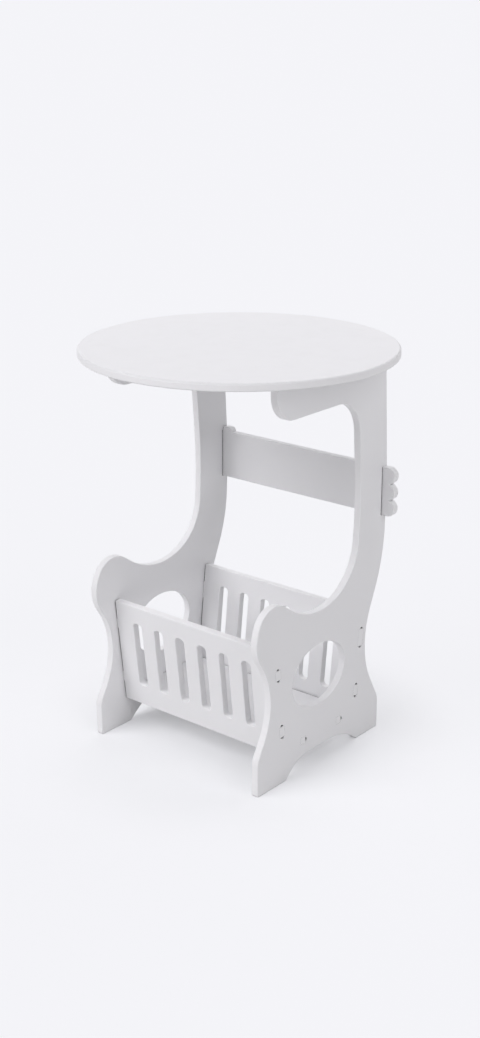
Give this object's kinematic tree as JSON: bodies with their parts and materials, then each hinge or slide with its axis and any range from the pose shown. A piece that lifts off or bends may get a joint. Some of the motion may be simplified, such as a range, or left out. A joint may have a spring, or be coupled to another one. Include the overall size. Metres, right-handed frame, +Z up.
{
  "type": "magazine side table",
  "caption": "Round-topped side table on C-shaped side panels, with a slatted magazine rack slotted between the feet and a crossbar behind.",
  "frame": {"origin": "floor point under the middle of the round top", "axes": "+X towards the right side panel seen from the front, +Y to the back where the columns and crossbar stand, +Z up"},
  "size_m": [0.3999, 0.4, 0.5275],
  "materials": {
    "white_board": "satin white lacquer on fine fibre board",
    "zinc_bracket": "zinc-plated pressed steel",
    "screw_steel": "zinc-plated steel"
  },
  "bodies": {
    "root": {"table_top": "white_board", "right_side_panel": "white_board", "left_side_panel": "white_board", "back_crossbar": "white_board", "rack_front_panel": "white_board", "rack_back_panel": "white_board", "rack_shelf": "white_board", "right_front_bracket": "zinc_bracket", "right_back_bracket": "zinc_bracket", "left_front_bracket": "zinc_bracket", "left_back_bracket": "zinc_bracket", "top_screws": "screw_steel", "side_screws": "screw_steel"}
  },
  "joints": []
}
